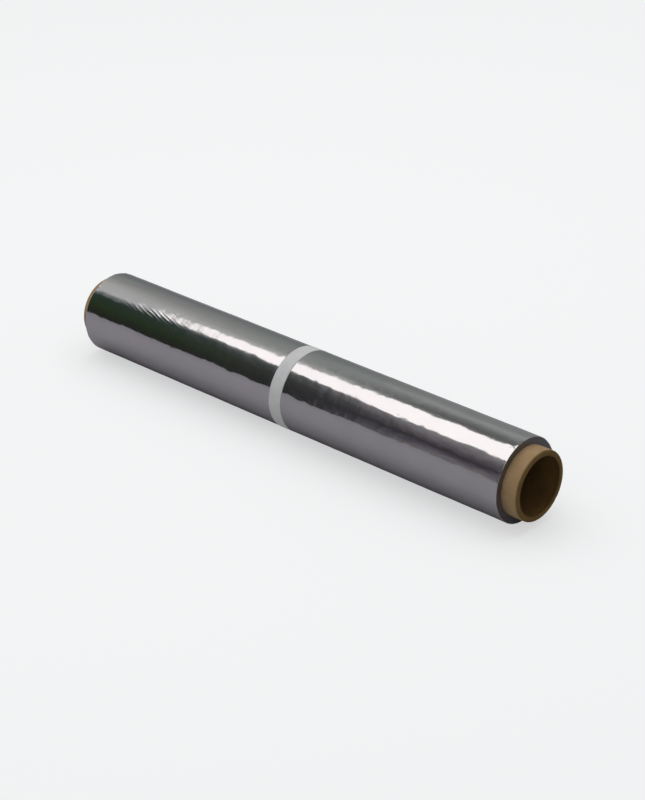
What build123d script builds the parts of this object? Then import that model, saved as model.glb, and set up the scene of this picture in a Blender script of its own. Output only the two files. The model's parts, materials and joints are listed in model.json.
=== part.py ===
from build123d import *
import math
import os

os.makedirs("parts", exist_ok=True)

# A household roll of aluminium foil: a spiral-wound cardboard core, the foil wound on it as one
# solid, and a narrow paper band round the middle that holds the loose end down.
#
# Frame: the roll lies on a table at z = 0. +X runs along the roll, towards the end where more of
# the core shows. +Z is up. The origin is on the table, under the middle of the core.

# Driving dimensions, in millimetres.
foil_width = 300.0             # the width of the foil, and so of the winding
foil_outer_diameter = 46.2     # over the full winding
core_outer_diameter = 38.1     # a 1 1/2 inch tube
core_inner_diameter = 31.75    # a 1 1/4 inch bore
core_length = 316.0            # the core stands out of the foil at both ends
core_bare_end = 9.5            # the bare length at the +X end; the rest shows at the -X end

flat_spot_depth = 0.1          # how far the winding is pressed flat where it lies
band_width = 8.5               # the paper band, along the roll
band_thickness = 0.1           # one layer of paper
lap_length = 10.0              # the glued overlap of the band's two ends, round the roll
lap_angle = 137.5              # the overlap's middle, in degrees from straight up towards +Y

core_outer_rounding = 1.0      # the cut ends of the tube are burnished round
core_inner_rounding = 0.5
foil_rounding = 0.4            # the soft corners of the winding

# Sizes that follow from them.
foil_radius = foil_outer_diameter / 2
core_radius = core_outer_diameter / 2
bore_radius = core_inner_diameter / 2
axis_height = foil_radius - flat_spot_depth
foil_end = core_length / 2 - core_bare_end
foil_middle = foil_end - foil_width / 2
band_radius = foil_radius + band_thickness

roll_axis = Pos(0, 0, axis_height)


def below(height, length, middle):
    """A block that fills all the space under a height, over a length of the roll."""
    depth = foil_outer_diameter
    return Pos(middle, 0, height - depth / 2) * Box(length, 2 * depth, depth)


def tube(inner_radius, outer_radius, length, middle, inner_rounding, outer_rounding):
    """A straight tube along the roll's axis, with its end corners rounded."""
    wall = outer_radius - inner_radius
    section = Plane.XZ * Pos(middle, inner_radius + wall / 2) * Rectangle(length, wall)
    corners = section.vertices().group_by(Axis.Z)
    section = fillet(corners[-1], outer_rounding)
    if inner_rounding:
        corners = section.vertices().group_by(Axis.Z)
        section = fillet(corners[0], inner_rounding)
    return roll_axis * revolve(section, Axis.X)


def core_tube():
    """The cardboard tube, longer than the foil at both ends."""
    return tube(bore_radius, core_radius, core_length, 0, core_inner_rounding, core_outer_rounding)


def foil_winding():
    """All the turns of foil as one solid, pressed flat where it lies and under the band."""
    winding = tube(core_radius, foil_radius, foil_width, foil_middle, 0, foil_rounding)
    winding -= below(0, 2 * foil_width, foil_middle)
    winding -= below(band_thickness, band_width, foil_middle)
    return winding


def wedge(middle_angle, spread, reach):
    """A triangle from the axis outwards, about an angle from straight up towards +Y."""
    corners = [(0, 0)]
    for side in (-1, 1):
        angle = math.radians(middle_angle + side * spread / 2)
        corners.append((reach * math.sin(angle), reach * math.cos(angle)))
    return Polygon(*corners, align=None)


def paper_band():
    """The strip of paper round the winding, with its glued overlap low on the far side."""
    spread = math.degrees(lap_length / band_radius)
    outline = Circle(band_radius)
    outline += Circle(band_radius + band_thickness) & wedge(lap_angle, spread, 2 * band_radius)
    start = foil_middle - band_width / 2
    disc = roll_axis * (Plane.YZ * extrude(outline, band_width))
    opening = roll_axis * (Plane.YZ * extrude(Circle(foil_radius), band_width))
    disc -= below(0, 2 * foil_width, 0)
    opening -= below(band_thickness, 2 * foil_width, 0)
    return Pos(start, 0, 0) * (disc - opening)


pieces = {
    "core_tube": core_tube(),
    "foil_winding": foil_winding(),
    "paper_band": paper_band(),
}

for name, piece in pieces.items():
    export_step(piece, f"parts/{name}.step")
    box = piece.bounding_box()
    print(name, f"{piece.volume / 1000:.2f} cm3", box.min, box.max)
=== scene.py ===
# %% [markdown]
# # A roll of aluminium foil
#
# A household foil roll is three things: a cardboard core wound from strips of brown paper, some
# thirty metres of thin foil wound on it, and a narrow paper band that holds the loose end down.
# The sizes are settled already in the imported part. This lesson makes the surfaces: foil that is
# never quite smooth, brown board, and a strip of plain paper. Bright foil shows mostly what it
# mirrors, so a large share of the work is in what stands round it.

# %% Load the sized part
import json
import math

import bmesh
import bpy
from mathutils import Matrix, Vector, noise


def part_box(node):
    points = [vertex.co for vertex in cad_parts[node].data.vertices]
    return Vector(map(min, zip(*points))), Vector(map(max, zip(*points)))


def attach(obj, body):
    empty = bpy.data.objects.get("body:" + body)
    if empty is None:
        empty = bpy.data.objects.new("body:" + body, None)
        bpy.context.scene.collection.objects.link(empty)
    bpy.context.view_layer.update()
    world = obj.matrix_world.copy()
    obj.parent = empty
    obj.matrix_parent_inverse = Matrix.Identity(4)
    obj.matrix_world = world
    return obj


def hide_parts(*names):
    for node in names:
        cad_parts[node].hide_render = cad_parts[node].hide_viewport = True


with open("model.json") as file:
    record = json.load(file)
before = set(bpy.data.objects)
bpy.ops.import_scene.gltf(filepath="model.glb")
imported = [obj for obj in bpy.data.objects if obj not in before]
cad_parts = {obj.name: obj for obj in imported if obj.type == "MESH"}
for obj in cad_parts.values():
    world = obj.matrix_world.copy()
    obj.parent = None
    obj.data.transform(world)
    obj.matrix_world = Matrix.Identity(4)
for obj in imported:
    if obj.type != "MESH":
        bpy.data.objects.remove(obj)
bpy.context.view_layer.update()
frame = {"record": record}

MM = 0.001

# %% [markdown]
# ## Sizes
#
# Every size comes from the sized part, so nothing has to be fitted. The roll's axis runs along X,
# at the middle of the core's height. Round the roll, places are given as a turn in degrees from
# straight up, positive towards the front of the roll, which is the -Y side.

# %% Read the sizes of the three pieces
core_low, core_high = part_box("core_tube")
foil_low, foil_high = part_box("foil_winding")
band_low, band_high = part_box("paper_band")
bore = next(m for m in frame["record"]["mounts"] if m["name"] == "core_bore")

AXIS_HEIGHT = bore["pos_m"][2]
BORE_RADIUS = bore["dims"]["r_mm"] * MM
CORE_RADIUS = (core_high.y - core_low.y) / 2
FOIL_RADIUS = (foil_high.y - foil_low.y) / 2
FOIL_MIDDLE = (foil_low.x + foil_high.x) / 2
FOIL_WIDTH = foil_high.x - foil_low.x
BAND_WIDTH = band_high.x - band_low.x
BAND_MIDDLE = (band_low.x + band_high.x) / 2
BAND_RADIUS = band_high.z - AXIS_HEIGHT
PAPER = BAND_RADIUS - FOIL_RADIUS
print(f"foil {FOIL_WIDTH / MM:.1f} x {2 * FOIL_RADIUS / MM:.1f} mm, paper {PAPER / MM:.2f} mm thick")

# %% [markdown]
# ## Camera
#
# The roll is seen from its right-hand end and from above, with a long lens, so that it narrows
# only a little towards its far end. The camera aims at a point close to the middle of the roll
# and stands level.

# %% Stand the camera
CAMERA_TURN = math.radians(42.75)     # round the roll, from looking along +Y
CAMERA_TILT = math.radians(26.6)      # above the table
CAMERA_DISTANCE = 1.1690
CAMERA_LENS = 97.9
AIM = Vector((7.4, 4.8, 17.8)) * MM

camera = bpy.data.objects.new("camera", bpy.data.cameras.new("camera"))
bpy.context.scene.collection.objects.link(camera)
bpy.context.scene.camera = camera
camera.data.lens = CAMERA_LENS
camera.data.clip_start = 0.01
back = Vector((
    math.sin(CAMERA_TURN) * math.cos(CAMERA_TILT),
    -math.cos(CAMERA_TURN) * math.cos(CAMERA_TILT),
    math.sin(CAMERA_TILT),
))
camera.location = AIM + back * CAMERA_DISTANCE
camera.rotation_euler = (-back).to_track_quat("-Z", "Y").to_euler()
print("camera at", [round(v, 3) for v in camera.location])

# %% [markdown]
# ## A way to write sums with nodes
#
# Both the shapes and the finishes below are worked out by nodes: the same Math, Noise and Map
# Range nodes serve in geometry trees and in materials. A long sum drawn as nodes is hard to
# follow in a script, so a small class carries a wire and lets the sum be written as a sum.

# %% Sums as nodes
class Wire:
    """A number flowing through a node tree. Its sums add Math nodes to that tree."""

    def __init__(self, tree, socket):
        self.tree = tree
        self.socket = socket

    def math(self, operation, *others, clamp=False):
        node = self.tree.nodes.new("ShaderNodeMath")
        node.operation = operation
        node.use_clamp = clamp
        for slot, value in zip(node.inputs, (self, *others)):
            plug(self.tree, slot, value)
        return Wire(self.tree, node.outputs[0])

    def __add__(self, other):
        return self.math("ADD", other)

    def __sub__(self, other):
        return self.math("SUBTRACT", other)

    def __mul__(self, other):
        return self.math("MULTIPLY", other)

    def __truediv__(self, other):
        return self.math("DIVIDE", other)

    def ramp(self, low, high, to_low=0.0, to_high=1.0, smooth=False):
        """Goes from to_low to to_high as this number goes from low to high, and stays there."""
        node = self.tree.nodes.new("ShaderNodeMapRange")
        node.interpolation_type = "SMOOTHSTEP" if smooth else "LINEAR"
        for slot, value in zip(node.inputs, (self, low, high, to_low, to_high)):
            plug(self.tree, slot, value)
        return Wire(self.tree, node.outputs[0])

    def bell(self, middle, spread):
        """1 where this number is at the middle, falling away softly to both sides."""
        away = (self - middle) / spread
        return (away * away * -1.0).math("EXPONENT")


def plug(tree, slot, value):
    """Puts a wire or a plain value into a socket."""
    if isinstance(value, Wire):
        tree.links.new(value.socket, slot)
    else:
        slot.default_value = value


def split(tree, vector):
    """The three numbers of a vector."""
    node = tree.nodes.new("ShaderNodeSeparateXYZ")
    tree.links.new(vector.socket, node.inputs[0])
    return [Wire(tree, output) for output in node.outputs]


def join(tree, x, y, z):
    """A vector from three numbers."""
    node = tree.nodes.new("ShaderNodeCombineXYZ")
    for slot, value in zip(node.inputs, (x, y, z)):
        plug(tree, slot, value)
    return Wire(tree, node.outputs[0])


def speckle(tree, vector, detail=2.0, roughness=0.5, signed=True):
    """Smooth noise at a vector, from about -1 to 1, or from 0 to 1."""
    node = tree.nodes.new("ShaderNodeTexNoise")
    node.inputs["Scale"].default_value = 1.0
    node.inputs["Detail"].default_value = detail
    node.inputs["Roughness"].default_value = roughness
    tree.links.new(vector.socket, node.inputs["Vector"])
    value = Wire(tree, node.outputs[0])
    return (value - 0.5) * 2.0 if signed else value


# %% [markdown]
# ## A round piece from a flat grid
#
# The winding and the core are both thick tubes, and a tube is a flat grid rolled up twice: once
# round its section, which is a long thin rectangle, and once round the roll's axis. Geometry
# Nodes do this in one step. A grid of points goes in, one side counting rows round the section,
# the other counting steps round the roll, and a Set Position node puts each point in its place.
# The rolled grid's two seams then close with Merge by Distance.

# %% A tree that rolls a tube
class Tube:
    """A node tree that rolls a grid into a thick tube. Its named inputs hold the tube's sizes.

    The rows of the grid go round the tube's section: along the outer wall from the far end to the
    near one, round a corner, down the near end's face, round a corner, back along the bore, and
    up the far end's face.
    """

    def __init__(self, name, sizes):
        self.tree = bpy.data.node_groups.new(name, "GeometryNodeTree")
        self.tree.interface.new_socket("Geometry", in_out="OUTPUT", socket_type="NodeSocketGeometry")
        for label, value in sizes.items():
            kind = "NodeSocketInt" if isinstance(value, int) else "NodeSocketFloat"
            self.tree.interface.new_socket(label, in_out="INPUT", socket_type=kind)
        self.group = self.tree.nodes.new("NodeGroupInput")
        self.section()

    def size(self, label):
        return Wire(self.tree, self.group.outputs[label])

    def section(self):
        """Lays out the plain tube: x from its middle, the radius, and the turn round its axis."""
        size = self.size
        rim, face, corner = size("Rows at a Rim"), size("Rows on an End"), size("Rows on a Corner")
        end = (corner, face, corner)
        counts = (rim, size("Rows Along"), rim, *end, size("Rows Inside"), *end)
        starts = [counts[0] * 0.0]
        for count in counts:
            starts.append(starts[-1] + count)
        grid = self.tree.nodes.new("GeometryNodeMeshGrid")
        plug(self.tree, grid.inputs["Vertices X"], starts[-1] + 1.0)
        plug(self.tree, grid.inputs["Vertices Y"], size("Steps Round") + 1.0)
        self.mesh = grid.outputs["Mesh"]
        place = self.tree.nodes.new("GeometryNodeInputPosition")
        across, around, _ = split(self.tree, Wire(self.tree, place.outputs[0]))
        row = (across + 0.5) * starts[-1]
        shares = [(row - start).ramp(0.0, count) for start, count in zip(starts, counts)]
        rim_a, along, rim_b, corner_a, face_a, corner_b, inside, corner_c, face_b, corner_d = shares

        outer, inner = size("Outer Rounding"), size("Inner Rounding")
        self.half = size("Length") * 0.5
        wall = size("Length") - outer * 2.0
        stretch = size("Rim Stretch")

        def swing(share, name):
            return (share * (math.pi / 2)).math(name)

        x = (rim_a + rim_b) * stretch + along * (wall - stretch * 2.0) - self.half + outer
        x = x + swing(corner_a, "SINE") * outer
        x = x - (swing(corner_b, "COSINE") * -1.0 + 1.0) * inner
        x = x - inside * (size("Length") - inner * 2.0) - swing(corner_c, "SINE") * inner
        self.x = x + (swing(corner_d, "COSINE") * -1.0 + 1.0) * outer
        height = size("Outer Radius") - size("Inner Radius") - outer - inner
        radius = size("Outer Radius") - (swing(corner_a, "COSINE") * -1.0 + 1.0) * outer
        radius = radius - (face_a - face_b) * height - swing(corner_b, "SINE") * inner
        radius = radius + (swing(corner_c, "COSINE") * -1.0 + 1.0) * inner
        self.radius = radius + swing(corner_d, "SINE") * outer

        self.turn = around * (2 * math.pi)
        self.side = self.turn.math("SINE")
        self.top = self.turn.math("COSINE")
        self.to_end = self.half - self.x.math("ABSOLUTE")
        self.on_wall = corner_a.ramp(0.9, 1.0, 1.0, 0.0) + corner_d.ramp(0.0, 0.1)
        self.on_ends = face_a.ramp(0.0, 0.1) * face_a.ramp(0.9, 1.0, 1.0, 0.0)
        self.on_ends = self.on_ends + face_b.ramp(0.0, 0.1) * face_b.ramp(0.9, 1.0, 1.0, 0.0)
        self.inside = corner_b.ramp(0.9, 1.0) * corner_c.ramp(0.0, 0.1, 1.0, 0.0)
        self.cut = corner_a.math("GREATER_THAN", 0.6) * corner_d.math("LESS_THAN", 0.4)

    def waves(self, along, around, shift=0.0, detail=2.0):
        """Noise over the tube's surface. Its scales along and round the tube are spots per metre."""
        reach = self.size("Outer Radius") * around
        spot = join(self.tree, self.x * along + shift, self.side * reach, self.top * reach)
        return speckle(self.tree, spot, detail=detail)

    def finish(self, x, radius, floor, material, end_material):
        """Puts every point in its place, closes the seams and sets the materials."""
        tree, links = self.tree, self.tree.links
        y = self.side * radius * -1.0
        z = (self.top * radius + self.size("Axis Height")).math("MAXIMUM", floor)
        place = tree.nodes.new("GeometryNodeSetPosition")
        plug(tree, place.inputs["Position"], join(tree, x + self.size("Middle"), y, z))
        capture = tree.nodes.new("GeometryNodeCaptureAttribute")
        capture.capture_items.new("FLOAT", "cut")
        links.new(self.mesh, capture.inputs["Geometry"])
        plug(tree, capture.inputs["cut"], self.cut)
        links.new(capture.outputs["Geometry"], place.inputs["Geometry"])
        merge = tree.nodes.new("GeometryNodeMergeByDistance")
        merge.inputs["Distance"].default_value = 1e-7
        links.new(place.outputs[0], merge.inputs["Geometry"])
        outside = tree.nodes.new("GeometryNodeFlipFaces")
        links.new(merge.outputs[0], outside.inputs[0])
        smooth = tree.nodes.new("GeometryNodeSetShadeSmooth")
        links.new(outside.outputs[0], smooth.inputs["Geometry"])
        real = tree.nodes.new("GeometryNodeRealizeInstances")
        links.new(smooth.outputs[0], real.inputs[0])
        paint = tree.nodes.new("GeometryNodeSetMaterial")
        paint.inputs["Material"].default_value = material
        links.new(real.outputs[0], paint.inputs["Geometry"])
        end_paint = tree.nodes.new("GeometryNodeSetMaterial")
        end_paint.inputs["Material"].default_value = end_material
        links.new(paint.outputs[0], end_paint.inputs["Geometry"])
        is_end = Wire(tree, capture.outputs["cut"]).math("GREATER_THAN", 0.6)
        plug(tree, end_paint.inputs["Selection"], is_end)
        output = tree.nodes.new("NodeGroupOutput")
        links.new(end_paint.outputs[0], output.inputs[0])
        return tree


# %% Turn a tree into a plain mesh
def plain_mesh(name, tree, sizes):
    """Runs a geometry tree with its sizes and keeps the result as an ordinary mesh object."""
    maker = bpy.data.objects.new("maker", bpy.data.meshes.new("maker"))
    bpy.context.scene.collection.objects.link(maker)
    modifier = maker.modifiers.new("make", "NODES")
    modifier.node_group = tree
    for item in tree.interface.items_tree:
        if item.item_type == "SOCKET" and item.in_out == "INPUT":
            modifier[item.identifier] = sizes[item.name]
    bpy.context.view_layer.update()
    made = maker.evaluated_get(bpy.context.evaluated_depsgraph_get())
    mesh = bpy.data.meshes.new_from_object(made)
    bpy.data.objects.remove(maker)
    mesh.name = name
    piece = bpy.data.objects.new(name, mesh)
    bpy.context.scene.collection.objects.link(piece)
    return piece


def report(piece):
    """Prints a piece's size and whether it is one closed shape that faces outwards."""
    shape = bmesh.new()
    shape.from_mesh(piece.data)
    open_edges = sum(not edge.is_manifold for edge in shape.edges)
    volume = shape.calc_volume(signed=True)
    triangles = sum(len(face.verts) - 2 for face in shape.faces)
    shape.free()
    print(f"{piece.name}: {triangles} triangles, {open_edges} open edges, {volume * 1e6:.3f} cm3")


# %% [markdown]
# ## Finishes
#
# All finishes are made of nodes and follow the piece's own place in space, because every piece
# keeps its object at the origin. Lengths inside a material are in metres, so a noise scale of
# 1000 makes spots about a millimetre across.

# %% The start of a finish
class Finish:
    """A material with one Principled shader, and its Object coordinates at hand."""

    def __init__(self, name, **constants):
        self.material = bpy.data.materials.new(name)
        self.material.use_nodes = True
        self.tree = self.material.node_tree
        self.shader = self.tree.nodes["Principled BSDF"]
        for label, value in constants.items():
            self.shader.inputs[label.replace("_", " ")].default_value = value
        place = self.tree.nodes.new("ShaderNodeTexCoord")
        self.place = Wire(self.tree, place.outputs["Object"])
        self.x, self.y, self.z = split(self.tree, self.place)
        self.z = self.z - AXIS_HEIGHT

    def stretched(self, along, around, shift=0.0):
        """A vector for noise that is stretched round the roll or along it."""
        return join(self.tree, self.x * along + shift, self.y * around, self.z * around)

    def ramp(self, share, stops):
        """A colour that changes with a share from 0 to 1, from stops of (place, colour)."""
        node = self.tree.nodes.new("ShaderNodeValToRGB")
        while len(node.color_ramp.elements) > 1:
            node.color_ramp.elements.remove(node.color_ramp.elements[-1])
        node.color_ramp.elements[0].position = stops[0][0]
        node.color_ramp.elements[0].color = (*stops[0][1], 1.0)
        for place, colour in stops[1:]:
            node.color_ramp.elements.new(place).color = (*colour, 1.0)
        self.tree.links.new(share.socket, node.inputs[0])
        return node.outputs[0]

    def mix(self, share, first, second):
        """The first colour, turning into the second as the share goes from 0 to 1.

        A colour is a socket, or three plain numbers.
        """
        node = self.tree.nodes.new("ShaderNodeMix")
        node.data_type = "RGBA"
        plug(self.tree, node.inputs["Factor"], share)
        colours = [slot for slot in node.inputs if slot.type == "RGBA"]
        for slot, colour in zip(colours, (first, second)):
            if isinstance(colour, tuple):
                slot.default_value = (*colour, 1.0)
            else:
                self.tree.links.new(colour, slot)
        return next(slot for slot in node.outputs if slot.type == "RGBA")

    def paint(self, colour):
        """Makes a colour the surface's own."""
        self.tree.links.new(colour, self.shader.inputs["Base Color"])

    def bump(self, height, depth):
        """Raises the surface in the shading by a height of 0 to 1, times a depth in metres."""
        node = self.tree.nodes.new("ShaderNodeBump")
        node.inputs["Distance"].default_value = depth
        self.tree.links.new(height.socket, node.inputs["Height"])
        self.tree.links.new(node.outputs[0], self.shader.inputs["Normal"])


# %% [markdown]
# ### Foil
#
# Foil is rolled between polished steel rolls, which leave hair-fine lines along the web. On a
# wound roll the web runs round, so the lines do too, and they break up the edge of every
# reflection into short steps. The colour is plain bright aluminium. The lines are two noises
# stretched far round the roll and narrow along it, one fine and one coarse, used as height.

# %% Foil finish
foil = Finish("bright_foil", Metallic=1.0)
fine_lines = speckle(foil.tree, foil.stretched(2600.0, 45.0), detail=3.0, roughness=0.6)
wide_lines = speckle(foil.tree, foil.stretched(520.0, 30.0, shift=7.0), detail=2.0)
foil.bump(fine_lines * 0.35 + wide_lines, 0.000012)
cloud = speckle(foil.tree, foil.stretched(60.0, 60.0, shift=3.0), detail=3.0, signed=False)
foil.paint(foil.ramp(cloud, [(0.3, (0.86, 0.86, 0.87)), (0.7, (0.90, 0.90, 0.905))]))
foil_rough = fine_lines.ramp(-0.6, 0.6, 0.06, 0.12)
foil.tree.links.new(foil_rough.socket, foil.shader.inputs["Roughness"])

# %% [markdown]
# The winding's two end faces are hundreds of foil edges side by side. No one edge shows; they
# make faint rings in a dull grey, painted dark as shade of the narrow gaps between the edges.

# %% Finish of the foil's cut edges
edges = Finish("foil_edges", Metallic=1.0, Roughness=0.42)
from_axis = (edges.y * edges.y + edges.z * edges.z).math("SQRT")
ring_spot = join(edges.tree, from_axis * 9000.0, edges.x * 20.0, 0.0)
rings = speckle(edges.tree, ring_spot, detail=4.0, roughness=0.7)
edges.bump(rings, 0.00005)
# painted shade: the dark grey of the end faces stands for the shade in the gaps between the turns'
# edges; the rings are real
edges.paint(edges.ramp(rings * 0.5 + 0.5, [(0.2, (0.13, 0.13, 0.14)), (0.8, (0.33, 0.32, 0.34))]))

# %% [markdown]
# ### The foil winding
#
# The winding's section is a rectangle 4 mm high and 300 mm long with soft corners. On top of
# that true form come the small faults that make foil look like foil: broad soft waves, finer
# waves that run round the roll, a patch of creases, crimped rims and a few dents. Under the paper
# band the foil is smooth. Each fault is one term of the sum that gives a point's radius.

# %% Sizes of the winding
foil_sizes = {
    "Length": FOIL_WIDTH,
    "Middle": FOIL_MIDDLE,
    "Outer Radius": FOIL_RADIUS,
    "Inner Radius": CORE_RADIUS,
    "Axis Height": AXIS_HEIGHT,
    "Outer Rounding": 0.4 * MM,
    "Inner Rounding": 0.05 * MM,
    "Rim Stretch": 3.0 * MM,
    "Broad Waves": 0.08 * MM,
    "Ripples": 0.130 * MM,
    "Fine Waves": 0.080 * MM,
    "Crease Depth": 0.075 * MM,
    "Rim Crimp": 0.30 * MM,
    "Ring Steps": 0.16 * MM,
    "Band Middle": BAND_MIDDLE - FOIL_MIDDLE,
    "Band Half Width": BAND_WIDTH / 2,
    "Paper": PAPER,
    "Rows Along": 262,
    "Rows at a Rim": 14,
    "Rows on a Corner": 5,
    "Rows on an End": 12,
    "Rows Inside": 1,
    "Steps Round": 288,
}

RIM_FADE = 1.5 * MM                   # the waves die out this close to a rim
CRIMP_REACH = 2.2 * MM                # the crimps reach this far in from a rim
BAND_FADE = 0.6 * MM                  # the foil smoothed by the band reaches this far past it
BAND_SMOOTHING = 0.85                 # the share of the waves that the band presses flat
GROOVE_AWAY, GROOVE_WIDTH, GROOVE_DEPTH = 0.35 * MM, 0.5 * MM, 0.05 * MM

# The patch of creases: its middle and spread, and how the creases in it lie.
CREASES_X, CREASES_SPREAD_X = -101.0 * MM, 17.0 * MM
CREASES_TURN, CREASES_SPREAD_TURN = math.radians(36), math.radians(12)
CREASE_SPACING = 1.9 * MM
CREASE_SLANT = 0.33
CREASE_WANDER = 0.9 * MM

# Each fault: mm along the foil from its middle, degrees round it, length and height in mm, depth.
DENTS = (
    (30, 12, 0.9, 1.3, 0.10),
    (79, 41, 1.2, 0.8, 0.08),
    (146, 23, 1.6, 0.7, 0.04),
    (30, 89, 0.6, 0.6, 0.12),
    (-64, 8, 4.0, 0.35, 0.05),
    (-16, 66, 3.0, 0.7, 0.05),
    (118, 68, 5.0, 0.7, 0.05),
)


# %% The winding's tree
def winding_tree():
    tube = Tube("foil winding", foil_sizes)
    size, x, turn, to_end = tube.size, tube.x, tube.turn, tube.to_end
    round_way = turn * size("Outer Radius")

    body = to_end.ramp(0.0, RIM_FADE)
    broad = tube.waves(16.0, 28.0, shift=11.0) * size("Broad Waves")
    fine = tube.waves(200.0, 170.0, shift=5.0, detail=3.0) * size("Fine Waves")
    ripples = tube.waves(60.0, 130.0, shift=17.0, detail=3.0) * size("Ripples")

    # Creases: short ridges that run along the roll and a little down, all in one patch.
    lean = tube.waves(90.0, 90.0, shift=21.0) * CREASE_WANDER
    across = (round_way - x * CREASE_SLANT + lean) * (2 * math.pi / CREASE_SPACING)
    patch = x.bell(CREASES_X, CREASES_SPREAD_X) * turn.bell(CREASES_TURN, CREASES_SPREAD_TURN)
    creases = across.math("SINE") * patch * size("Crease Depth")

    # The rims are crimped where the roll has been handled.
    rim = to_end.ramp(0.0, CRIMP_REACH, 1.0, 0.0, smooth=True)
    crimp = tube.waves(250.0, 420.0, shift=31.0) * rim * size("Rim Crimp")

    # The paper band lies tight on smooth foil, with a faint groove at each side of it.
    off_band = (x - size("Band Middle")).math("ABSOLUTE") - size("Band Half Width")
    under_band = off_band.ramp(0.0, BAND_FADE, 1.0, 0.0, smooth=True)
    groove = off_band.bell(GROOVE_AWAY, GROOVE_WIDTH) * GROOVE_DEPTH

    pressed = under_band * -BAND_SMOOTHING + 1.0
    faults = (broad + fine + ripples + creases) * body * pressed + crimp - groove
    for along, degrees, length, height, depth in DENTS:
        away_x = (x - along * MM) / (length * MM)
        away_y = (round_way - math.radians(degrees) * FOIL_RADIUS) / (height * MM)
        faults = faults - ((away_x * away_x + away_y * away_y) * -1.0).math("EXPONENT") * (depth * MM)

    # The end faces: the turns' edges stand in faint rings, some further in than others.
    ring_spot = join(tube.tree, tube.radius * 2600.0, tube.x * 40.0, tube.side * 0.6)
    rings = (speckle(tube.tree, ring_spot, detail=3.0, roughness=0.7) - 1.0) * size("Ring Steps")
    outwards = x / tube.half
    return tube.finish(
        x + rings * tube.on_ends * outwards,
        tube.radius + faults * tube.on_wall,
        under_band * size("Paper"),
        foil.material,
        edges.material,
    )


winding = plain_mesh("foil_roll", winding_tree(), foil_sizes)
report(winding)

# %% Hand the winding over
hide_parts("foil_winding")
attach(winding, "root")

# %% [markdown]
# ### Brown board
#
# The core is kraft board: strips of brown paper glued one over the other in a spiral. The colour
# is blotched, with short darker and lighter fibres. Where the tube was cut the plies' edges are
# darker. Inside the bore the colour is darker still, which is painted shade of the deep bore. Both
# places are found from the distance to the axis and to the tube's end.

# %% Board finish
CORE_HALF = (core_high.x - core_low.x) / 2

board = Finish("kraft_board", Roughness=0.85)
board.shader.inputs["Specular IOR Level"].default_value = 0.25
from_axis = (board.y * board.y + board.z * board.z).math("SQRT")
blotches = speckle(board.tree, board.stretched(140.0, 140.0), detail=4.0, roughness=0.6)
fibres = speckle(board.tree, board.stretched(900.0, 3200.0), detail=2.0, roughness=0.7)
share = blotches * 0.30 + fibres * 0.30 + 0.5
to_cut = board.x.math("ABSOLUTE") * -1.0 + CORE_HALF
cut = to_cut.ramp(0.3 * MM, 1.1 * MM, 1.0, 0.0)
# painted shade: inside the bore the colour is made much darker, for the shade deep in it
bore_shade_share = from_axis.ramp(BORE_RADIUS + 0.3 * MM, BORE_RADIUS + 1.2 * MM, 1.0, 0.0)
wall_colour = board.ramp(share, [(0.15, (0.22, 0.135, 0.062)), (0.85, (0.38, 0.265, 0.150))])
cut_colour = board.ramp(share, [(0.15, (0.075, 0.043, 0.008)), (0.85, (0.16, 0.100, 0.025))])
bore_painted_shade = board.ramp(share, [(0.15, (0.060, 0.026, 0.006)), (0.85, (0.13, 0.075, 0.020))])
board.paint(board.mix(bore_shade_share, board.mix(cut, wall_colour, cut_colour), bore_painted_shade))
board.bump(fibres * 0.6 + blotches, 0.00005)

# %% [markdown]
# ### The core
#
# The core is a second rolled tube. Its outer ply is one strip of paper whose two edges meet in a
# spiral seam, and the innermost ply has a seam of its own. Each ply also rises very slightly
# from one edge to the other, so the seam is a small step with a fine groove beside it. The cut
# ends are burnished round, and show the plies as faint rings.

# %% Sizes of the core
core_sizes = {
    "Length": core_high.x - core_low.x,
    "Middle": (core_high.x + core_low.x) / 2,
    "Outer Radius": CORE_RADIUS,
    "Inner Radius": BORE_RADIUS,
    "Axis Height": AXIS_HEIGHT,
    "Outer Rounding": 1.0 * MM,
    "Inner Rounding": 0.5 * MM,
    "Rim Stretch": 9.0 * MM,
    "Seam Pitch": 63.5 * MM,
    "Seam Step": 0.10 * MM,
    "Seam Groove": 0.16 * MM,
    "Ply": 0.45 * MM,
    "Ply Rings": 0.03 * MM,
    "Rows Along": 24,
    "Rows at a Rim": 26,
    "Rows on a Corner": 8,
    "Rows on an End": 10,
    "Rows Inside": 120,
    "Steps Round": 224,
}


# %% The core's tree
def core_tree():
    tube = Tube("cardboard core", core_sizes)
    size = tube.size

    def seam(start):
        """The step and groove of a spiral seam that begins at a share of a turn."""
        way = tube.x / size("Seam Pitch") - tube.turn / (2 * math.pi) + start
        since = way.math("FRACT")
        groove = ((since - 0.5).math("ABSOLUTE") * -1.0 + 0.5) * size("Seam Pitch")
        return since * size("Seam Step") - groove.bell(0.0, 0.5 * MM) * size("Seam Groove")

    outer = seam(0.15) - size("Seam Step")
    inner = seam(0.62) * -1.0 + size("Seam Step")
    soft = tube.waves(60.0, 60.0, detail=3.0) * (0.04 * MM)
    plies = (tube.radius * (2 * math.pi) / size("Ply")).math("SINE") - 1.0
    ragged = tube.waves(700.0, 700.0, shift=4.0) * (0.04 * MM)
    outwards = tube.x / tube.half
    return tube.finish(
        tube.x + (plies * size("Ply Rings") + ragged) * tube.on_ends * outwards,
        tube.radius + (outer + soft) * tube.on_wall + inner * tube.inside,
        0.0,
        board.material,
        board.material,
    )


core = plain_mesh("cardboard_core", core_tree(), core_sizes)
report(core)
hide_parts("core_tube")
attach(core, "root")

# %% [markdown]
# ### White paper
#
# The band is plain uncoated paper: matt, very slightly blotched, with short fibres that show as
# a faint grain.

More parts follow.
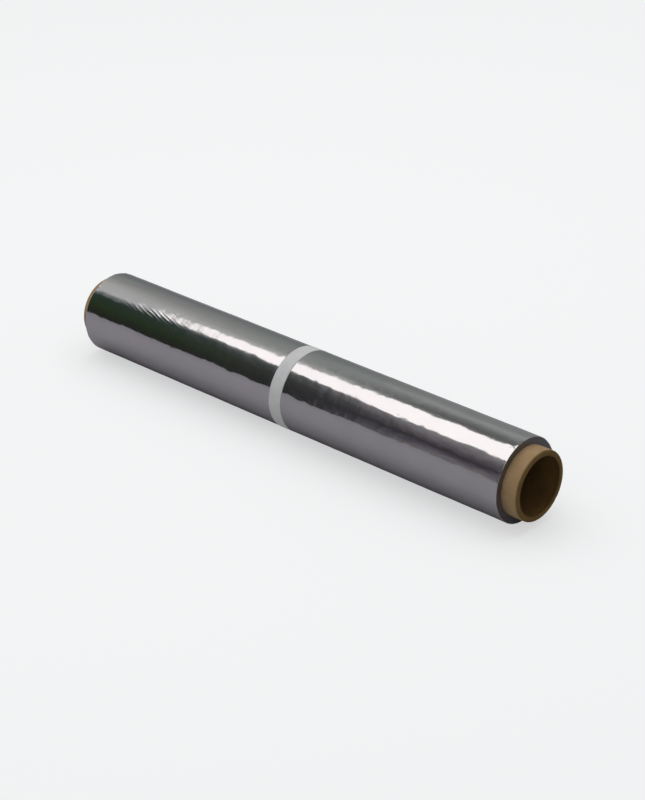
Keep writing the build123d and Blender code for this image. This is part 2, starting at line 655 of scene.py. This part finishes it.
# %% Paper finish
paper = Finish("white_paper", Roughness=0.8)
paper.shader.inputs["Specular IOR Level"].default_value = 0.3
grain = speckle(paper.tree, paper.stretched(2500.0, 2500.0), detail=3.0, roughness=0.6)
clouds = speckle(paper.tree, paper.stretched(200.0, 200.0, shift=2.0), detail=2.0)
share = grain * 0.25 + clouds * 0.35 + 0.5
paper.paint(paper.ramp(share, [(0.1, (0.45, 0.45, 0.455)), (0.9, (0.56, 0.56, 0.565))]))
paper.bump(grain, 0.00002)

# %% [markdown]
# ### The paper band
#
# The band is one strip that goes once round the roll and ends on top of its own start, glued
# low on the far side. It is made as a strip of points laid round the roll, which climbs one
# paper thickness just before the lap. Solidify then gives it the thickness of paper.

# %% Lay the strip round the roll
LAP_MIDDLE = math.radians(-137.5)     # low on the far side
LAP_LENGTH = 10.0 * MM
CLIMB_LENGTH = 2.0 * MM               # the stretch that climbs on to the lap
STRIP_DRIFT = 0.10 * MM               # how far the strip wanders sideways
STRIP_RIPPLE = 0.02 * MM              # how far its two edges rise and dip
STRIP_STEPS = 300
STRIP_ROWS = 10


def thin_sheet(name, points, thickness, material):
    """A closed thin sheet from rows of points that form its middle surface."""
    mesh = bmesh.new()
    corners = [[mesh.verts.new(point) for point in row] for row in points]
    for row, following in zip(corners, corners[1:]):
        for a, b, c, d in zip(row, row[1:], following[1:], following):
            mesh.faces.new((a, b, c, d)).smooth = True
    data = bpy.data.meshes.new(name)
    mesh.to_mesh(data)
    mesh.free()
    sheet = bpy.data.objects.new(name, data)
    bpy.context.scene.collection.objects.link(sheet)
    data.materials.append(material)
    solid = sheet.modifiers.new("thickness", "SOLIDIFY")
    solid.thickness = thickness
    solid.offset = 0.0
    made = sheet.evaluated_get(bpy.context.evaluated_depsgraph_get())
    sheet.data = bpy.data.meshes.new_from_object(made)
    sheet.modifiers.clear()
    report(sheet)
    return sheet


def ease(share):
    """A share that starts and ends softly, kept from 0 to 1."""
    share = min(max(share, 0.0), 1.0)
    return share * share * (3 - 2 * share)


def round_point(x, radius, turn, lowest):
    """A point of the roll's surface, kept above a lowest height."""
    z = AXIS_HEIGHT + radius * math.cos(turn)
    return (x, -radius * math.sin(turn), max(z, lowest))


def strip_points():
    lap = LAP_LENGTH / FOIL_RADIUS
    climb = CLIMB_LENGTH / FOIL_RADIUS
    start = LAP_MIDDLE - lap / 2
    length = 2 * math.pi + lap
    rows = []
    for step in range(STRIP_STEPS + 1):
        way = length * step / STRIP_STEPS
        turn = start + way
        lift = ease((way - (2 * math.pi - climb)) / climb) * PAPER
        row = []
        for place in range(STRIP_ROWS + 1):
            across = place / STRIP_ROWS - 0.5
            drift = noise.noise((math.sin(turn) * 3, math.cos(turn) * 3, 5.0)) * STRIP_DRIFT
            ripple = noise.noise((math.sin(turn) * 6, math.cos(turn) * 6, across)) * STRIP_RIPPLE
            radius = FOIL_RADIUS + PAPER * 0.5 + lift + ripple * (2 * across) ** 2
            row.append(round_point(BAND_MIDDLE + across * BAND_WIDTH + drift, radius, turn, PAPER / 2))
        rows.append(row)
    return rows


band = thin_sheet("paper_strip", strip_points(), PAPER * 0.9, paper.material)
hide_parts("paper_band")
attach(band, "root")

# %% [markdown]
# ### The foil's loose edge
#
# The last turn of foil has to end somewhere. On this roll the end is on the far side, where it
# stands off a little between the rims and the band that holds it down. It is a narrow thin
# sheet that leaves the winding along a line and lifts towards its cut edge.

# %% Lay the loose edge
TAIL_START = math.radians(-52)
TAIL_LENGTH = 9.0 * MM
TAIL_LIFT = 0.55 * MM
TAIL_THICKNESS = 0.03 * MM
TAIL_INSET = 0.3 * MM                 # short of the winding's rims
TAIL_HELD = 22.0 * MM                 # the band holds the edge down this far to each side
TAIL_RAGGED = 0.35 * MM
TAIL_GAP, TAIL_SUNK = 0.02 * MM, 0.01 * MM    # above the foil, and pressed into it at the band
TAIL_STEPS = 260
TAIL_ROWS = 8


def tail_points():
    rows = []
    half = FOIL_WIDTH / 2 - TAIL_INSET
    for step in range(TAIL_STEPS + 1):
        x = -half + 2 * half * step / TAIL_STEPS
        off_band = abs(x + FOIL_MIDDLE - BAND_MIDDLE) - BAND_WIDTH / 2
        free = ease(off_band / TAIL_HELD)
        uneven = noise.noise((x * 30, 1.0, 2.0)) + 0.5 * noise.noise((x * 140, 3.0, 2.0))
        cut = noise.noise((x * 60, 9.0, 4.0)) * TAIL_RAGGED
        row = []
        for place in range(TAIL_ROWS + 1):
            share = place / TAIL_ROWS
            turn = TAIL_START - share * (TAIL_LENGTH + cut) / FOIL_RADIUS
            lift = TAIL_LIFT * share ** 2 * free * (0.75 + 0.9 * uneven)
            low = TAIL_GAP if free > 0 else -TAIL_SUNK
            row.append(round_point(FOIL_MIDDLE + x, FOIL_RADIUS + low + max(lift, 0.0), turn, 0.0))
        rows.append(row)
    return rows


tail = thin_sheet("foil_loose_edge", tail_points(), TAIL_THICKNESS, foil.material)
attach(tail, "root")

# %% [markdown]
# ## Table and light
#
# The table is a plain pale plane, and the world is the same pale colour, so that there is no
# horizon. One wide soft lamp hangs over the roll and the world fills in the shadows. Together
# they are about as bright as plain daylight, so a colour looks about as it is written. The table
# also glows faintly in its own colour, more so further off, which keeps the shadow light. Little
# of that glow reaches the paper and board, or their undersides would look lit from below.

# %% Table, world and lamp
PALE = (0.905, 0.910, 0.915)
WORLD_LIGHT = 0.68
GLOW_NEAR, GLOW_FAR = 0.60, 1.0       # how much of the table's brightness is glow
GLOW_FROM, GLOW_TO = 0.35, 1.6        # the distances from the roll between which it grows
GLOW_ON_ROLL = 0.2                    # the share of the glow that lights paper and board
TABLE_REACH = 40.0
LAMP_SIZE = (1.6, 1.2)
LAMP_PLACE = (-0.2, 0.1, 1.1)
LAMP_POWER = 7.4


def stand_in(name, points, faces, material):
    """A piece of the studio, which isn't part of the roll."""
    data = bpy.data.meshes.new(name)
    data.from_pydata(points, [], faces)
    data.materials.append(material)
    thing = bpy.data.objects.new(name, data)
    bpy.context.scene.collection.objects.link(thing)
    return thing


def flat_piece(name, half_x, half_y, height, material):
    """A flat rectangle of the studio, centred under the roll."""
    corners = [(-half_x, -half_y), (half_x, -half_y), (half_x, half_y), (-half_x, half_y)]
    return stand_in(name, [(x, y, height) for x, y in corners], [(0, 1, 2, 3)], material)


table = Finish("pale_table", Roughness=1.0)
table.shader.inputs["Specular IOR Level"].default_value = 0.0
distance = (table.x * table.x + table.y * table.y).math("SQRT")
table.shader.inputs["Base Color"].default_value = (*PALE, 1.0)
glow_node = table.tree.nodes.new("ShaderNodeEmission")
glow_node.inputs["Color"].default_value = (*PALE, 1.0)
light_path = table.tree.nodes.new("ShaderNodeLightPath")
on_roll = Wire(table.tree, light_path.outputs["Is Diffuse Ray"])
plug(table.tree, glow_node.inputs["Strength"], on_roll.ramp(0.0, 1.0, 1.0, GLOW_ON_ROLL))
blend = table.tree.nodes.new("ShaderNodeMixShader")
glow_share = distance.ramp(GLOW_FROM, GLOW_TO, GLOW_NEAR, GLOW_FAR, smooth=True)
plug(table.tree, blend.inputs[0], glow_share)
table.tree.links.new(table.shader.outputs[0], blend.inputs[1])
table.tree.links.new(glow_node.outputs[0], blend.inputs[2])
table.tree.links.new(blend.outputs[0], table.tree.nodes["Material Output"].inputs["Surface"])
flat_piece("table", TABLE_REACH, TABLE_REACH, 0.0, table.material)

world = bpy.data.worlds.new("studio")
bpy.context.scene.world = world
world.use_nodes = True
sky = world.node_tree.nodes["Background"]
path = world.node_tree.nodes.new("ShaderNodeLightPath")
rays = ("Is Camera Ray", "Is Glossy Ray", "Is Transmission Ray")
camera_ray, mirror_ray, glass_ray = (Wire(world.node_tree, path.outputs[ray]) for ray in rays)
seen = (camera_ray + mirror_ray + glass_ray).math("MINIMUM", 1.0)
sky.inputs["Color"].default_value = (*PALE, 1.0)
plug(world.node_tree, sky.inputs["Strength"], seen.ramp(0.0, 1.0, WORLD_LIGHT, 1.0))

lamp = bpy.data.objects.new("soft lamp", bpy.data.lights.new("soft lamp", "AREA"))
bpy.context.scene.collection.objects.link(lamp)
lamp.data.shape = "RECTANGLE"
lamp.data.size, lamp.data.size_y = LAMP_SIZE
lamp.data.energy = LAMP_POWER
lamp.location = LAMP_PLACE
lamp.rotation_euler = (Vector((0, 0, 0)) - lamp.location).to_track_quat("-Z", "Y").to_euler()
lamp.visible_glossy = False

# %% [markdown]
# ## What the foil mirrors
#
# Bright foil has almost no colour of its own, so its stripes are images of what stands round it.
# Here a tent stands round the roll: a half cylinder that glows, though it is no lamp, in painted
# reflections: a long white panel at its top, dark below that at the front and grey at the back.
# A grey card lies on the table. Only mirror rays see them, so the pale background stays as it is,
# and of the paper and board only the weak sheen changes. They hide the pale table and world from
# the foil. Without this step the foil mirrors those instead, and is pale all over.

# %% The tent
TENT_RADIUS = 0.6
TENT_HALF = 1.6
TENT_STEPS = 64

tent_finish = Finish("tent_cloth")
tree = tent_finish.tree
lean = (tent_finish.y * -1.0).math("ARCTAN2", tent_finish.z + AXIS_HEIGHT)
share = lean.ramp(-math.pi / 2, math.pi / 2)
along = tent_finish.x

FAR_X, MIDDLE_X, NEAR_X = -0.62, -0.42, -0.30
# At the front the painted reflection stands on a strip of the table card's grey, so its dark part ends
# a little above the table.
SKIRTING = (0.971, (0.21, 0.20, 0.215))
# painted reflection: the colours the glowing tent shows in the foil, round the roll at three places
# along it
far_painted_reflection = tent_finish.ramp(share, [
    (0.00, (0.13, 0.14, 0.14)), (0.14, (0.17, 0.18, 0.18)), (0.28, (0.24, 0.24, 0.23)),
    (0.45, (0.38, 0.38, 0.37)), (0.57, (0.42, 0.41, 0.42)), (0.62, (0.15, 0.16, 0.16)),
    (0.66, (0.022, 0.036, 0.028)), (0.80, (0.020, 0.033, 0.016)), (0.965, (0.014, 0.014, 0.012)),
    SKIRTING,
])
middle_painted_reflection = tent_finish.ramp(share, [
    (0.00, (0.15, 0.16, 0.16)), (0.14, (0.17, 0.19, 0.18)), (0.28, (0.22, 0.23, 0.22)),
    (0.40, (0.25, 0.26, 0.25)), (0.47, (0.40, 0.40, 0.39)), (0.60, (0.20, 0.20, 0.20)),
    (0.68, (0.070, 0.072, 0.075)), (0.76, (0.036, 0.036, 0.036)), (0.965, (0.020, 0.020, 0.022)),
    SKIRTING,
])
near_painted_reflection = tent_finish.ramp(share, [
    (0.00, (0.19, 0.20, 0.20)), (0.14, (0.20, 0.21, 0.20)), (0.24, (0.27, 0.28, 0.28)),
    (0.33, (0.16, 0.16, 0.16)), (0.40, (0.10, 0.10, 0.10)), (0.44, (0.20, 0.20, 0.20)),
    (0.68, (0.20, 0.19, 0.20)), (0.76, (0.10, 0.09, 0.10)), (0.84, (0.036, 0.032, 0.038)),
    (0.90, (0.090, 0.078, 0.098)), (0.965, (0.15, 0.14, 0.14)),
    SKIRTING,
])
painted_reflection = tent_finish.mix(along.ramp(FAR_X, MIDDLE_X), far_painted_reflection, middle_painted_reflection)
painted_reflection = tent_finish.mix(along.ramp(MIDDLE_X, NEAR_X), painted_reflection, near_painted_reflection)

# The painted highlight panel narrows towards its far end.
degrees = lean * (180 / math.pi)
# painted highlight: the white panel glows a little brighter than white
PAINTED_HIGHLIGHT = (1.09, 1.03, 1.02)
PANEL_FAR_X, PANEL_FULL_X = -0.62, -0.54      # the panel fades in between these
PANEL_BLUR = 1.5                              # degrees, the softness of its long edges
PANEL_TIP_X = -0.63
TIP_LOW, TIP_HIGH = 4.0, 16.0                 # its two long edges at that end, in degrees
WIDE_LOW, WIDE_HIGH = -10.0, 29.0             # and where it is widest
panel_low = along.ramp(PANEL_TIP_X, NEAR_X, TIP_LOW, WIDE_LOW)
panel_high = along.ramp(PANEL_TIP_X, NEAR_X, TIP_HIGH, WIDE_HIGH)
above_low = (degrees - panel_low).ramp(-PANEL_BLUR, PANEL_BLUR, smooth=True)
below_high = (panel_high - degrees).ramp(-PANEL_BLUR, PANEL_BLUR, smooth=True)
panel = above_low * below_high * along.ramp(PANEL_FAR_X, PANEL_FULL_X, smooth=True)
painted_reflection = tent_finish.mix(panel, painted_reflection, PAINTED_HIGHLIGHT)
# painted glow: the tent is no lamp and lights nothing; only the foil's mirror image shows it
lit = tree.nodes.new("ShaderNodeEmission")
tree.links.new(painted_reflection, lit.inputs["Color"])
tree.links.new(lit.outputs[0], tree.nodes["Material Output"].inputs["Surface"])
tent_finish.material.cycles.emission_sampling = "NONE"

arch = []
for step in range(TENT_STEPS + 1):
    angle = math.pi * step / TENT_STEPS
    arch.append((-math.cos(angle) * TENT_RADIUS, math.sin(angle) * TENT_RADIUS))
points = [(x, y, z) for x in (-TENT_HALF, TENT_HALF) for y, z in arch]
count = len(arch)
walls = [(i, i + 1, count + i + 1, count + i) for i in range(count - 1)]
ends = [tuple(range(count)), tuple(range(2 * count - 1, count - 1, -1))]
tent = stand_in("tent", points, walls + ends, tent_finish.material)

card_finish = Finish("grey_card", Roughness=1.0)
card_finish.shader.inputs["Specular IOR Level"].default_value = 0.0
card_finish.shader.inputs["Base Color"].default_value = (0.225, 0.212, 0.230, 1.0)
CARD_HEIGHT = 0.2 * MM
card = flat_piece("table card", TENT_HALF, TENT_RADIUS, CARD_HEIGHT, card_finish.material)
for thing in (tent, card):
    thing.visible_camera = False
    thing.visible_diffuse = False
    thing.visible_shadow = False
    thing.visible_transmission = False
    thing.visible_volume_scatter = False

bpy.context.scene.view_settings.view_transform = "Standard"
